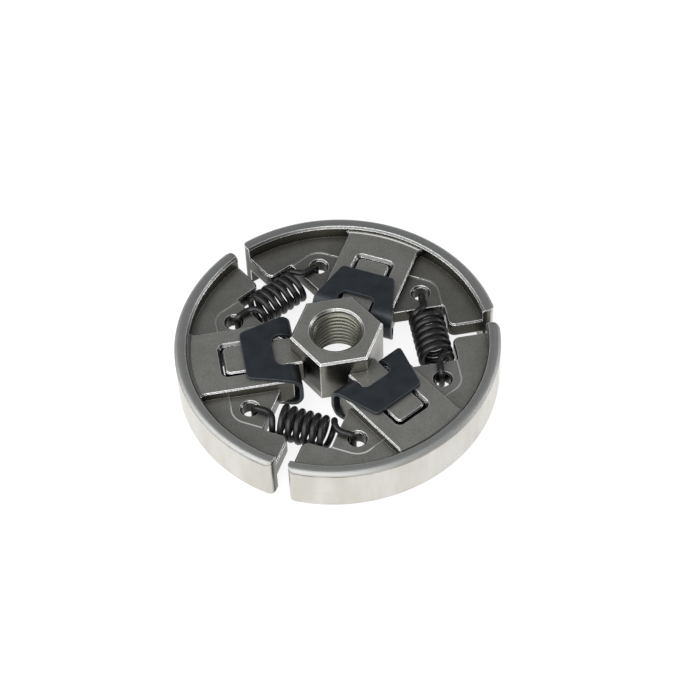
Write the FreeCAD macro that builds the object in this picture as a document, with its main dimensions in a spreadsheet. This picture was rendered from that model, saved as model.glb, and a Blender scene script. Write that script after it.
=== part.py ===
import FreeCAD, Part
import math
import os
import Sketcher

# Driving sizes: millimetres, angles in degrees, heights from the shoes' underside.
SIZES = {
    # whole clutch
    "first_arm_angle": 60.0,
    "arm_step_angle": 120.0,
    "rest_inset": 0.8,
    # friction shoe: rim
    "face_radius": 38.7,
    "shoe_height": 12.25,
    "rim_thickness": 3.1,
    "rim_edge_radial": 0.8,
    "rim_edge_axial": 0.6,
    "rim_inner_edge": 0.5,
    "rim_corner_radius": 1.8,
    "shoe_gap": 3.5,
    # friction shoe: web that carries the springs
    "web_underside": 4.8,
    "web_drop": 3.45,
    "web_land": 2.9,
    "web_edge": 0.35,
    "notch_inner_radius": 0.8,
    "notch_outer_radius": 1.8,
    "recess_depth": 0.25,
    "recess_radius": 4.1,
    "hole_setback": 13.1,
    "hole_wall": 1.64,
    "hole_radius": 1.9,
    "hole_edge": 0.45,
    # friction shoe: bridge that slides on the arm
    "bridge_width": 17.9,
    "bridge_underside": 3.7,
    "bridge_drop": 1.15,
    "bridge_end_reach": 1.9,
    "bridge_end_drop": 0.9,
    "bridge_root_radius": 1.6,
    "bridge_edge": 0.3,
    "slot_corner_radius": 1.0,
    "slot_edge": 0.7,
    # carrier
    "hex_across_flats": 19.0,
    "hub_underside": 3.0,
    "hub_top": 16.0,
    "hex_edge": 0.45,
    "hub_gap": 0.63,
    "bore_radius": 6.0,
    "bore_edge": 0.45,
    "arm_width": 7.9,
    "arm_tip": 26.7,
    "arm_corner_radius": 1.2,
    "arm_edge": 0.35,
    "side_clearance": 0.3,
    "tip_clearance": 0.4,
    "face_clearance": 0.12,
    # sheet retainer
    "sheet_thickness": 0.9,
    "clip_tip_inset": 4.6,
    "clip_outer_width": 13.2,
    "clip_overhang": 0.95,
    "clip_flare": 0.302,
    "clip_end_gap": 1.1,
    "clip_bend_radius": 2.3,
    "clip_arm_clearance": 0.5,
    "clip_notch_depth": 2.2,
    "clip_notch_radius": 1.9,
    "clip_corner_radius": 1.2,
    # tension spring
    "wire_thickness": 1.5,
    "coil_radius": 3.5,
    "coil_level": 7.0,
    "coil_pitch": 1.95,
    "coil_clearance": 0.25,
    "coil_end_clearance": 0.95,
    "hook_lean_angle": 30.0,
    "hook_clearance": 0.15,
    "hook_bend_radius": 1.1,
    "hook_seat_clearance": 0.12,
    "hook_tip_lift": 0.2,
}
SHOES = (1, 2, 3)
SIDES = (("left", 1), ("right", -1))
WIRE_SIDES = 6
STEPS_PER_TURN = 9
HOOK_STEPS = 4


class Size:
    """A number and the sheet expression that drives it."""

    def __init__(self, value, text):
        self.value = value
        self.text = text

    def __add__(self, other):
        other = as_size(other)
        return Size(self.value + other.value, f"({self.text} + {other.text})")

    def __sub__(self, other):
        other = as_size(other)
        return Size(self.value - other.value, f"({self.text} - {other.text})")

    def __mul__(self, other):
        other = as_size(other)
        return Size(self.value * other.value, f"({self.text} * {other.text})")

    def __truediv__(self, other):
        other = as_size(other)
        return Size(self.value / other.value, f"({self.text} / {other.text})")

    def __neg__(self):
        return Size(-self.value, f"(0 - {self.text})")


def as_size(number):
    """A plain number as a Size."""
    return number if isinstance(number, Size) else Size(float(number), repr(float(number)))


def root_of(size):
    """Square root of a Size."""
    return Size(math.sqrt(size.value), f"sqrt({size.text})")


def cosine(angle):
    """Cosine of an angle in degrees."""
    return Size(math.cos(math.radians(angle.value)), f"cos({angle.text})")


def sine(angle):
    """Sine of an angle in degrees."""
    return Size(math.sin(math.radians(angle.value)), f"sin({angle.text})")


doc = FreeCAD.newDocument("chainsaw_clutch")
sheet = doc.addObject("Spreadsheet::Sheet", "sizes")
for row, (alias, number) in enumerate(SIZES.items(), start=1):
    sheet.set(f"A{row}", alias)
    sheet.set(f"B{row}", str(number))
    sheet.setAlias(f"B{row}", alias)
doc.recompute()
size = {alias: Size(float(sheet.get(alias)), f"sizes.{alias}") for alias in SIZES}

nought = as_size(0.0)
half_step = size["arm_step_angle"] / 2
rim_inner_radius = size["face_radius"] - size["rim_thickness"]
rim_middle_radius = size["face_radius"] - size["rim_thickness"] / 2
half_gap = size["shoe_gap"] / 2
half_bridge = size["bridge_width"] / 2
half_slot = size["arm_width"] / 2 + size["side_clearance"]
slot_end = size["arm_tip"] + size["tip_clearance"]
hex_flat = size["hex_across_flats"] / 2
hex_corner = hex_flat / cosine(half_step / 2)
bridge_inner_end = hex_corner + size["hub_gap"]
bridge_top = size["shoe_height"] - size["bridge_drop"]
web_top = size["shoe_height"] - size["web_drop"]
recess_level = web_top - size["recess_depth"]
hole_side = half_bridge + size["hole_wall"] + size["hole_edge"] + size["hole_radius"]
web_setback = size["hole_setback"] - size["hole_radius"] - size["web_land"]
half_wire = size["wire_thickness"] / 2


def beside(reach, setback, side):
    """Point by its reach along the plane between two shoes and its setback from that plane."""
    x = reach * cosine(half_step) + setback * sine(half_step)
    y = reach * sine(half_step) - setback * cosine(half_step)
    return (x, y if side > 0 else -y)


spring_reach = (hole_side + size["hole_setback"] * cosine(half_step)) / sine(half_step)
notch_reach = spring_reach + size["coil_radius"] + half_wire + size["coil_clearance"]
far = size["face_radius"] * 2


def origin_plane(body, role):
    """One of a body's own origin planes or axes."""
    return [item for item in body.Origin.OriginFeatures if item.Role == role][0]


def new_body(name, angle):
    """A body turned about the hub axis."""
    body = doc.addObject("PartDesign::Body", name)
    body.Label = name
    turned = f"placement(vector(0; 0; 0); rotation(vector(0; 0; 1); {angle.text}))"
    body.setExpression("Placement", turned)
    return body


def new_sketch(body, name, role, level=None, shift=None):
    """An empty sketch on an origin plane, lifted by level and moved sideways by shift."""
    sketch = body.newObject("Sketcher::SketchObject", name)
    sketch.AttachmentSupport = [(origin_plane(body, role), "")]
    sketch.MapMode = "FlatFace"
    if level is not None:
        sketch.setExpression("AttachmentOffset.Base.z", level.text)
    if shift is not None:
        sketch.setExpression("AttachmentOffset.Base.x", shift.text)
    return sketch


def hold(sketch, constraint, driver):
    """Add a dimension and drive it from the sheet."""
    index = sketch.addConstraint(constraint)
    sketch.setExpression(f"Constraints[{index}]", driver.text)


def pin(sketch, edge, place, point):
    """Drive both coordinates of a sketch point."""
    hold(sketch, Sketcher.Constraint("DistanceX", -1, 1, edge, place, point[0].value), point[0])
    hold(sketch, Sketcher.Constraint("DistanceY", -1, 1, edge, place, point[1].value), point[1])


def draw_outline(sketch, corners):
    """Closed outline; a corner with a third entry starts an arc round that centre."""
    spots = [FreeCAD.Vector(c[0].value, c[1].value, 0) for c in corners]
    starts = []
    ends = []
    for i, corner in enumerate(corners):
        a = spots[i]
        b = spots[(i + 1) % len(spots)]
        if len(corner) == 2:
            edge = sketch.addGeometry(Part.LineSegment(a, b), False)
            starts.append((edge, 1))
            ends.append((edge, 2))
            continue
        centre = FreeCAD.Vector(corner[2][0].value, corner[2][1].value, 0)
        outward = (a - centre) + (b - centre)
        middle = centre + outward.normalize() * (a - centre).Length
        edge = sketch.addGeometry(Part.Arc(a, middle, b), False)
        forward = sketch.getPoint(edge, 1).distanceToPoint(a) < 1e-6
        starts.append((edge, 1 if forward else 2))
        ends.append((edge, 2 if forward else 1))
        hold(sketch, Sketcher.Constraint("DistanceX", -1, 1, edge, 3, centre.x), corner[2][0])
    for i, corner in enumerate(corners):
        following = starts[(i + 1) % len(starts)]
        sketch.addConstraint(Sketcher.Constraint("Coincident", *ends[i], *following))
        pin(sketch, *starts[i], corner)


def draw_circle(sketch, centre, radius):
    """A driven circle."""
    spot = FreeCAD.Vector(centre[0].value, centre[1].value, 0)
    edge = sketch.addGeometry(Part.Circle(spot, FreeCAD.Vector(0, 0, 1), radius.value), False)
    hold(sketch, Sketcher.Constraint("Radius", edge, radius.value), radius)
    pin(sketch, edge, 3, centre)


def pad(body, sketch, length, both_ways=False):
    """Raise a sketch by a driven length."""
    feature = body.newObject("PartDesign::Pad", sketch.Name + "_pad")
    feature.Profile = sketch
    feature.setExpression("Length", length.text)
    feature.SideType = "Symmetric" if both_ways else "One side"
    body.Tip = feature
    doc.recompute()
    return feature


def pocket(body, sketch, depth=None):
    """Cut a sketch down by a driven depth, or right through both ways."""
    before = body.Tip.Shape.Volume
    feature = body.newObject("PartDesign::Pocket", sketch.Name + "_cut")
    feature.Profile = sketch
    if depth is None:
        feature.Type = "ThroughAll"
        feature.SideType = "Symmetric"
    else:
        feature.setExpression("Length", depth.text)
    body.Tip = feature
    doc.recompute()
    if not feature.Shape.Volume < before:
        raise RuntimeError(f"{feature.Name} cuts nothing away")
    return feature


def dress(body, kind, name, driver, chosen):
    """Chamfer or fillet the edges of the tip that a test chooses."""
    base = body.Tip
    edges = [f"Edge{i}" for i, edge in enumerate(base.Shape.Edges, start=1) if chosen(edge)]
    if not edges:
        raise RuntimeError(f"{body.Label}: {name} finds no edge")
    feature = body.newObject("PartDesign::" + kind, name)
    feature.Base = (base, edges)
    feature.setExpression("Radius" if kind == "Fillet" else "Size", driver.text)
    body.Tip = feature
    doc.recompute()
    return feature


def box_of(edge):
    """Bounding box of an edge without its tolerance."""
    return edge.optimalBoundingBox(False, False)


def flat_at(edge, level):
    """Whether an edge lies wholly at one height."""
    box = box_of(edge)
    return abs(box.ZMin - level.value) < 0.01 and abs(box.ZMax - level.value) < 0.01


def upright_at(edge, point):
    """Whether an edge stands upright over one point of the plan."""
    box = box_of(edge)
    if box.XLength > 0.01 or box.YLength > 0.01:
        return False
    return abs(box.XMin - point[0].value) < 0.02 and abs(abs(box.YMin) - abs(point[1].value)) < 0.02


def build_shoe(number, angle):
    """One sintered friction shoe, drawn with its arm along X."""
    name = f"shoe_{number}"
    body = new_body(name, angle)
    inset = -size["rest_inset"]

    section = new_sketch(body, f"{name}_rim", "XZ_Plane", shift=inset)
    outer = size["face_radius"]
    top = size["shoe_height"]
    slope = size["rim_edge_radial"]
    drop = size["rim_edge_axial"]
    inner_edge = size["rim_inner_edge"]
    draw_outline(section, [
        (rim_inner_radius, nought),
        (outer - slope, nought),
        (outer, drop),
        (outer, top - drop),
        (outer - slope, top),
        (rim_inner_radius + inner_edge, top),
        (rim_inner_radius, top - inner_edge),
    ])
    rim = body.newObject("PartDesign::Revolution", f"{name}_rim_turn")
    rim.Profile = section
    rim.ReferenceAxis = (section, ["V_Axis"])
    rim.setExpression("Angle", size["arm_step_angle"].text)
    rim.Midplane = True
    body.Tip = rim
    doc.recompute()

    web = new_sketch(body, f"{name}_web", "XY_Plane", level=size["web_underside"])
    draw_circle(web, (inset, nought), rim_middle_radius)
    pad(body, web, web_top - size["web_underside"])

    corner = size["rim_corner_radius"]
    aside = half_gap + corner + size["rest_inset"] * sine(half_step)
    end_reach = root_of(outer * outer - aside * aside) - size["rest_inset"] * cosine(half_step)
    for side_name, side in SIDES:
        ends = new_sketch(body, f"{name}_end_{side_name}", "XY_Plane")
        r_out = size["notch_outer_radius"]
        r_in = size["notch_inner_radius"]
        draw_outline(ends, [
            beside(far, half_gap + corner, side),
            (*beside(end_reach, half_gap + corner, side),
             beside(end_reach - corner, half_gap + corner, side)),
            beside(end_reach - corner, half_gap, side),
            (*beside(notch_reach + r_out, half_gap, side),
             beside(notch_reach + r_out, half_gap + r_out, side)),
            beside(notch_reach, half_gap + r_out, side),
            (*beside(notch_reach, web_setback - r_in, side),
             beside(notch_reach - r_in, web_setback - r_in, side)),
            beside(notch_reach - r_in, web_setback, side),
            beside(-far, web_setback, side),
            beside(-far, -far, side),
            beside(far, -far, side),
        ])
        pocket(body, ends)
    dress(body, "Chamfer", f"{name}_web_edges", size["web_edge"], lambda edge:
          flat_at(edge, web_top)
          and abs(getattr(edge.Curve, "Radius", 0) - rim_inner_radius.value) > 0.01)

    for side_name, side in SIDES:
        recess = new_sketch(body, f"{name}_recess_{side_name}", "XY_Plane", level=web_top)
        hole = beside(spring_reach, size["hole_setback"], side)
        reach = spring_reach + size["recess_radius"]
        deep = hole[0] + size["recess_radius"]
        under = half_bridge / 2 * side
        draw_outline(recess, [
            (deep, under),
            (deep, hole[1], hole),
            beside(reach, size["hole_setback"], side),
            beside(reach, half_gap, side),
            beside(size["arm_width"], half_gap, side),
        ])
        pocket(body, recess, size["recess_depth"])

    bridge = new_sketch(body, f"{name}_bridge", "XY_Plane", level=size["bridge_underside"])
    flare = size["bridge_root_radius"]
    root = root_of(rim_inner_radius * rim_inner_radius - half_bridge * half_bridge) - size["rest_inset"]
    within = rim_inner_radius + size["rim_thickness"] / 4 - size["rest_inset"]
    wide = half_bridge + flare
    draw_outline(bridge, [
        (bridge_inner_end, -half_bridge),
        (root - flare, -half_bridge, (root - flare, -wide)),
        (root, -wide),
        (within, -wide),
        (within, wide),
        (root, wide, (root - flare, wide)),
        (root - flare, half_bridge),
        (bridge_inner_end, half_bridge),
    ])
    pad(body, bridge, bridge_top - size["bridge_underside"])

    bevel = new_sketch(body, f"{name}_bevel", "XZ_Plane")
    tip = bridge_inner_end
    low = size["bridge_underside"]
    slant = size["bridge_end_drop"]
    behind = tip + size["bridge_end_reach"]
    draw_outline(bevel, [(tip, bridge_top), (tip, bridge_top - slant), (behind, bridge_top)])
    draw_outline(bevel, [(tip, low), (behind, low), (tip, low + slant)])
    pocket(body, bevel)

    slot = new_sketch(body, f"{name}_slot", "XY_Plane")
    r_slot = size["slot_corner_radius"]
    draw_outline(slot, [
        (nought, -half_slot),
        (slot_end - r_slot, -half_slot, (slot_end - r_slot, r_slot - half_slot)),
        (slot_end, r_slot - half_slot),
        (slot_end, half_slot - r_slot, (slot_end - r_slot, half_slot - r_slot)),
        (slot_end - r_slot, half_slot),
        (nought, half_slot),
    ])
    pocket(body, slot)

    for side_name, side in SIDES:
        hole = new_sketch(body, f"{name}_hole_{side_name}", "XY_Plane")
        spot = beside(spring_reach, size["hole_setback"], side)
        draw_circle(hole, spot, size["hole_radius"])
        pocket(body, hole)
    dress(body, "Chamfer", f"{name}_hole_edges", size["hole_edge"], lambda edge:
          flat_at(edge, recess_level)
          and abs(box_of(edge).XLength - 2 * size["hole_radius"].value) < 0.01)
    dress(body, "Chamfer", f"{name}_slot_edges", size["slot_edge"], lambda edge:
          flat_at(edge, bridge_top)
          and abs(box_of(edge).YMin) < half_slot.value + 0.01
          and abs(box_of(edge).YMax) < half_slot.value + 0.01
          and box_of(edge).XMax < slot_end.value + 0.01)
    dress(body, "Chamfer", f"{name}_bridge_edges", size["bridge_edge"], lambda edge:
          flat_at(edge, bridge_top)
          and box_of(edge).YLength < 0.01
          and abs(abs(box_of(edge).YMin) - half_bridge.value) < 0.01)
    return body


def build_carrier(angle):
    """Hexagon hub with three arms, drawn with one arm along X."""
    body = new_body("carrier", angle)
    low = size["bridge_underside"] + size["face_clearance"]
    high = bridge_top - size["face_clearance"]
    half = size["arm_width"] / 2
    tip = size["arm_tip"]
    r_tip = size["arm_corner_radius"]
    arm = new_sketch(body, "carrier_arm", "XY_Plane", level=low)
    draw_outline(arm, [
        (nought, -half),
        (tip - r_tip, -half, (tip - r_tip, r_tip - half)),
        (tip, r_tip - half),
        (tip, half - r_tip, (tip - r_tip, half - r_tip)),
        (tip - r_tip, half),
        (nought, half),
    ])
    pad(body, arm, high - low)
    dress(body, "Chamfer", "carrier_arm_edges", size["arm_edge"], lambda edge:
          (flat_at(edge, low) or flat_at(edge, high)) and box_of(edge).XMax > hex_flat.value)
    arms = body.newObject("PartDesign::PolarPattern", "carrier_arms")
    arms.TransformMode = "Whole shape"
    arms.Axis = (origin_plane(body, "Z_Axis"), [""])
    arms.Angle = 360
    arms.Occurrences = len(SHOES)
    body.Tip = arms
    doc.recompute()

    hexagon = new_sketch(body, "carrier_hexagon", "XY_Plane", level=size["hub_underside"])
    draw_outline(hexagon, [
        (hex_corner, nought),
        (hex_corner / 2, hex_flat),
        (-hex_corner / 2, hex_flat),
        (-hex_corner, nought),
        (-hex_corner / 2, -hex_flat),
        (hex_corner / 2, -hex_flat),
    ])
    pad(body, hexagon, size["hub_top"] - size["hub_underside"])
    dress(body, "Chamfer", "carrier_hexagon_edges", size["hex_edge"], lambda edge:
          flat_at(edge, size["hub_top"]) or flat_at(edge, size["hub_underside"]))

    bore = new_sketch(body, "carrier_bore", "XY_Plane")
    draw_circle(bore, (nought, nought), size["bore_radius"])
    pocket(body, bore)
    dress(body, "Chamfer", "carrier_bore_edges", size["bore_edge"], lambda edge:
          abs(box_of(edge).XLength - 2 * size["bore_radius"].value) < 0.01
          and (flat_at(edge, size["hub_top"]) or flat_at(edge, size["hub_underside"])))
    return body


def build_retainer(number, angle):
    """Sheet clip folded over a bridge, drawn with its arm along X."""
    name = f"retainer_{number}"
    body = new_body(name, angle)
    sheet_size = size["sheet_thickness"]
    outer = size["arm_tip"] - size["clip_tip_inset"]
    low = size["bridge_underside"]
    high = bridge_top
    back = bridge_inner_end - size["clip_end_gap"]
    r_bend = size["clip_bend_radius"]
    bend = back + r_bend
    upper = (bend, high - r_bend)
    lower = (bend, low + r_bend)
    fold = new_sketch(body, f"{name}_fold", "XZ_Plane")
    draw_outline(fold, [
        (outer, high + sheet_size),
        (bend, high + sheet_size, upper),
        (back - sheet_size, high - r_bend),
        (back - sheet_size, low + r_bend, lower),
        (bend, low - sheet_size),
        (outer, low - sheet_size),
        (outer, low),
        (bend, low, lower),
        (back, low + r_bend),
        (back, high - r_bend, upper),
        (bend, high),
        (outer, high),
    ])
    broad = half_bridge + size["clip_overhang"]
    pad(body, fold, broad * 2, both_ways=True)

    half = size["clip_outer_width"] / 2
    widening = size["clip_flare"] * outer
    for side_name, side in SIDES:
        flank = new_sketch(body, f"{name}_flank_{side_name}", "XY_Plane")
        draw_outline(flank, [
            (outer * 2, (half - widening) * side),
            (nought, (half + widening) * side),
            (nought, broad * 2 * side),
            (outer * 2, broad * 2 * side),
        ])
        pocket(body, flank)

    notch = new_sketch(body, f"{name}_notch", "XY_Plane")
    wide = size["arm_width"] / 2 + size["clip_arm_clearance"]
    deep = bend + size["clip_notch_depth"]
    r_notch = size["clip_notch_radius"]
    draw_outline(notch, [
        (nought, -wide),
        (deep - r_notch, -wide, (deep - r_notch, r_notch - wide)),
        (deep, r_notch - wide),
        (deep, wide - r_notch, (deep - r_notch, wide - r_notch)),
        (deep - r_notch, wide),
        (nought, wide),
    ])
    pocket(body, notch)
    dress(body, "Fillet", f"{name}_corners", size["clip_corner_radius"], lambda edge:
          upright_at(edge, (outer, half)))
    return body


def hook_path(end, heading, sign):
    """Wire centre line from a coil end over the web and down into the spring hole."""
    reach = spring_reach.value
    over = (recess_level + half_wire + size["hook_clearance"]).value
    bend = size["hook_bend_radius"].value
    seat = (size["hole_setback"] - size["hole_radius"] + half_wire + size["hook_seat_clearance"]).value
    tip = (size["web_underside"] + size["hook_tip_lift"]).value
    axis = FreeCAD.Vector(0, sign, 0)
    joint = FreeCAD.Vector(reach, end.y + sign * abs(end.x - reach), over)
    pull = (joint - end).Length / 2
    sweep = Part.BezierCurve()
    sweep.setPoles([end, end + heading * pull, joint - axis * pull, joint])
    path = [sweep.value(k / HOOK_STEPS) for k in range(1, HOOK_STEPS + 1)]
    for k in range(HOOK_STEPS + 1):
        turn = math.pi / 2 * k / HOOK_STEPS
        along = seat - bend + bend * math.sin(turn)
        path.append(FreeCAD.Vector(reach, sign * along, over - bend + bend * math.cos(turn)))
    path.append(FreeCAD.Vector(reach, sign * seat, tip))
    return path


def coil_path():
    """Wire centre line of a spring: reach along X, spring axis along Y, height along Z."""
    reach = spring_reach.value
    level = size["coil_level"].value
    radius = size["coil_radius"].value
    lean = size["hook_lean_angle"].value
    length = 2 * (web_setback - half_wire - size["coil_end_clearance"]).value
    turns = max(2, round(length / size["coil_pitch"].value + lean / 180))
    angle = math.radians(360 * turns - 2 * lean)
    count = round(STEPS_PER_TURN * angle / (2 * math.pi))
    coil = []
    headings = []
    for i in range(count + 1):
        turn = math.radians(lean) + angle * i / count
        along = length * (i / count - 0.5)
        aside = radius * math.sin(turn)
        raised = radius * math.cos(turn)
        coil.append(FreeCAD.Vector(reach + aside, along, level + raised))
        heading = FreeCAD.Vector(raised, length / angle, -aside)
        headings.append(heading.normalize())
    before = hook_path(coil[0], -headings[0], -1)
    after = hook_path(coil[-1], headings[-1], 1)
    return before[::-1] + coil + after


def wire_solid(path):
    """Solid of a straight-sided wire with mitred joints along a path."""
    radius = half_wire.value
    heading = (path[1] - path[0]).normalize()
    across = heading.cross(FreeCAD.Vector(1, 0, 0)).normalize()
    up = heading.cross(across)
    ring = []
    for k in range(WIRE_SIDES):
        turn = 2 * math.pi * k / WIRE_SIDES
        ring.append(path[0] + across * (radius * math.cos(turn)) + up * (radius * math.sin(turn)))
    rings = [ring]
    for i in range(1, len(path)):
        before = (path[i] - path[i - 1]).normalize()
        after = (path[i + 1] - path[i]).normalize() if i + 1 < len(path) else before
        mitre = before + after
        ring = [p + before * ((path[i] - p).dot(mitre) / before.dot(mitre)) for p in ring]
        rings.append(ring)
    faces = [Part.Face(Part.makePolygon(rings[0] + rings[0][:1]))]
    faces.append(Part.Face(Part.makePolygon(rings[-1] + rings[-1][:1])))
    for first, second in zip(rings, rings[1:]):
        for k in range(WIRE_SIDES):
            m = (k + 1) % WIRE_SIDES
            faces.append(Part.Face(Part.makePolygon([first[k], first[m], second[m], second[k], first[k]])))
    shell = Part.Shell(faces)
    shell.sewShape()
    solid = Part.Solid(shell)
    if solid.Volume < 0:
        solid.reverse()
    return solid


def build_spring(number, angle, shape):
    """One tension spring between two neighbouring shoes."""
    spring = doc.addObject("Part::Feature", f"spring_{number}")
    spring.Label = f"spring_{number}"
    spring.Shape = shape
    spring.Placement = FreeCAD.Placement(
        FreeCAD.Vector(), FreeCAD.Rotation(FreeCAD.Vector(0, 0, 1), angle.value))
    return spring


parts = [build_carrier(size["first_arm_angle"])]
for index, number in enumerate(SHOES):
    arm_angle = size["first_arm_angle"] + size["arm_step_angle"] * index
    parts.append(build_shoe(number, arm_angle))
    parts.append(build_retainer(number, arm_angle))
wire = wire_solid(coil_path())
for index, number in enumerate(SHOES):
    spring_angle = size["first_arm_angle"] + size["arm_step_angle"] * index + half_step
    parts.append(build_spring(number, spring_angle, wire))
doc.recompute()

for item in doc.Objects:
    if "Invalid" in item.State or "Error" in item.State:
        raise RuntimeError(f"{item.Name} does not build: {item.State}")
os.makedirs("parts", exist_ok=True)
for part in parts:
    if part.Shape.isNull() or not part.Shape.isValid() or len(part.Shape.Solids) != 1:
        raise RuntimeError(f"{part.Label} is not one valid solid")
    part.Shape.exportStep(f"parts/{part.Label}.step")
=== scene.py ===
import logging
import math
from dataclasses import dataclass
from enum import Enum, IntEnum
from typing import Any

import bpy
import numpy as np
from mathutils import Matrix, Vector


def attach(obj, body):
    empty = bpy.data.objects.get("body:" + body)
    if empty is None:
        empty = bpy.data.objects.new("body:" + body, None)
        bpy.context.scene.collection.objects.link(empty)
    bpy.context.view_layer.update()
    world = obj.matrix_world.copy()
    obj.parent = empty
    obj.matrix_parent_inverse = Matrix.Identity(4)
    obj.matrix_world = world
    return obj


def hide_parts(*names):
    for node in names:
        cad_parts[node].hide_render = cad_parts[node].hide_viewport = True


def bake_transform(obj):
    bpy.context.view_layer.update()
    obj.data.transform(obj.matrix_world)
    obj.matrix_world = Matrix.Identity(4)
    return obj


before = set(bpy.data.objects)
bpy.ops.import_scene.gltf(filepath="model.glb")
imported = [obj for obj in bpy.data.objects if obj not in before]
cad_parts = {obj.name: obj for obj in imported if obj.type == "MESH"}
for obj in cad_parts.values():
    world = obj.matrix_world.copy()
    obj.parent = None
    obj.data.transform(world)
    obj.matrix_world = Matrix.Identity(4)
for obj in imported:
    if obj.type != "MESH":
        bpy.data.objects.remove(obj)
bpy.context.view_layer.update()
MM = 0.001
# Factors that keep the level part of a vector.
PLAN = (1.0, 1.0, 0.0)
LOG = logging.getLogger("clutch")

Tree = bpy.types.NodeTree
Socket = bpy.types.NodeSocket
Colour = tuple[float, float, float, float]
# Where a mask starts to rise, is full, starts to fall and ends.
Zone = tuple[float, float, float, float]


class Hand(Enum):
    """Which way a helix winds as it climbs."""

    LEFT = -1
    RIGHT = 1


class Blend(IntEnum):
    """Inputs of the mix node by number, because their names repeat for each kind of data."""

    SHARE = 0
    VALUE_BELOW = 2
    VALUE_ABOVE = 3
    VECTOR_BELOW = 4
    VECTOR_ABOVE = 5
    COLOUR_BELOW = 6
    COLOUR_ABOVE = 7


class Blended(IntEnum):
    """Outputs of the mix node by number."""

    VALUE = 0
    VECTOR = 1
    COLOUR = 2


def linear(code: str) -> Colour:
    """Turn an sRGB hex colour into linear light.

    Args:
        code: Six hex digits after a hash.

    Returns:
        Linear red, green, blue and full alpha.
    """
    parts = [int(code[i:i + 2], 16) / 255 for i in (1, 3, 5)]
    red, green, blue = [c / 12.92 if c <= 0.04045 else ((c + 0.055) / 1.055) ** 2.4 for c in parts]
    return (red, green, blue, 1.0)


def per_metre(size_mm: float) -> float:
    """Texture scale that makes one cell of a pattern as wide as a size in millimetres."""
    return 1.0 / (size_mm * MM)


def add_node(tree: Tree, kind: str, inputs: dict[Any, Any] | None = None, **settings: Any) -> bpy.types.Node:
    """Add one node with its settings, values and links.

    Args:
        tree: Node tree that takes the node.
        kind: Blender's name of the node's type.
        inputs: Input socket, by name or number, to a plain value or another node's output.
        settings: Properties of the node.

    Returns:
        The new node.
    """
    node = tree.nodes.new(kind)
    for name, value in settings.items():
        setattr(node, name, value)
    for key, value in (inputs or {}).items():
        if isinstance(value, Socket):
            tree.links.new(value, node.inputs[key])
        else:
            node.inputs[key].default_value = value
    return node


def new_material(name: str) -> tuple[bpy.types.Material, Tree]:
    """Make an empty node material.

    Args:
        name: Name of the real material.

    Returns:
        The material and its node tree.
    """
    material = bpy.data.materials.new(name)
    material.use_nodes = True
    material.node_tree.nodes.clear()
    return material, material.node_tree


def product(tree: Tree, *masks: Socket | float) -> Socket:
    """Multiply masks together.

    Args:
        tree: Node tree to work in.
        masks: Two or more sockets, or plain shares after the first.

    Returns:
        The product's socket.
    """
    result = masks[0]
    for mask in masks[1:]:
        result = add_node(tree, "ShaderNodeMath", {0: result, 1: mask}, operation="MULTIPLY").outputs[0]
    return result


def window(tree: Tree, value: Socket, zone: Zone, origin: float = 0.0, unit: float = MM) -> Socket:
    """Mask that is one inside a zone of a value and nought outside it.

    Args:
        tree: Node tree to work in.
        value: The value that is tested.
        zone: Where the mask starts to rise, is full, starts to fall and ends.
        origin: What the zone is measured from.
        unit: The zone's own unit, in that of the value.

    Returns:
        The mask's socket.
    """
    rise, full, fall, end = [(origin + limit) * unit for limit in zone]
    up = add_node(tree, "ShaderNodeMapRange", {0: value, 1: rise, 2: full})
    down = add_node(tree, "ShaderNodeMapRange", {0: value, 1: fall, 2: end, 3: 1.0, 4: 0.0})
    return product(tree, up.outputs[0], down.outputs[0])


def coats(tree: Tree, ground: Socket | Colour, layers: list[tuple[Socket, Socket | Colour]]) -> Socket:
    """Lay coats of colour over a ground colour, one after another.

    Args:
        tree: Node tree to work in.
        ground: Colour that lies lowest.
        layers: Each coat's share and colour, from the lowest up.

    Returns:
        The finished colour's socket.
    """
    colour = ground
    for share, coat in layers:
        colour = add_node(tree, "ShaderNodeMix", {
            Blend.SHARE: share, Blend.COLOUR_BELOW: colour, Blend.COLOUR_ABOVE: coat},
            data_type="RGBA").outputs[Blended.COLOUR]
    return colour


@dataclass(frozen=True)
class Surface:
    """Sockets that say where a point of a surface lies and how it is turned: its object coordinates and
    their upward part, its normal, how far it lies level from nought to one, and the masks of level and of
    sloped faces."""

    place: Socket
    height: Socket
    normal: Socket
    level: Socket
    flat: Socket
    sloped: Socket


@dataclass(frozen=True)
class Skin:
    """Colour, roughness and normal of a surface. Colour and roughness may be plain in a skin that is laid
    over another."""

    colour: Socket | Colour
    rough: Socket | float
    bump: Socket


def over(tree: Tree, share: Socket, below: Skin, above: Skin) -> Skin:
    """Lay one skin over another.

    Args:
        tree: Node tree to work in.
        share: How much of the upper skin shows.
        below: The lower skin.
        above: The upper skin.

    Returns:
        The blended skin.
    """
    colour = coats(tree, below.colour, [(share, above.colour)])
    rough = add_node(tree, "ShaderNodeMix", {
        Blend.SHARE: share, Blend.VALUE_BELOW: below.rough, Blend.VALUE_ABOVE: above.rough})
    bump = add_node(tree, "ShaderNodeMix", {
        Blend.SHARE: share, Blend.VECTOR_BELOW: below.bump, Blend.VECTOR_ABOVE: above.bump},
        data_type="VECTOR")
    return Skin(colour, rough.outputs[Blended.VALUE], bump.outputs[Blended.VECTOR])


def close(tree: Tree, skin: Skin, metallic: float) -> None:
    """Join a skin to the material's shader and output.

    Args:
        tree: Node tree to work in.
        skin: The finished skin.
        metallic: How far the surface is bare metal.
    """
    shader = add_node(tree, "ShaderNodeBsdfPrincipled", {
        "Base Color": skin.colour, "Metallic": metallic, "Roughness": skin.rough, "Normal": skin.bump})
    add_node(tree, "ShaderNodeOutputMaterial", {"Surface": shader.outputs[0]})


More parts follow.
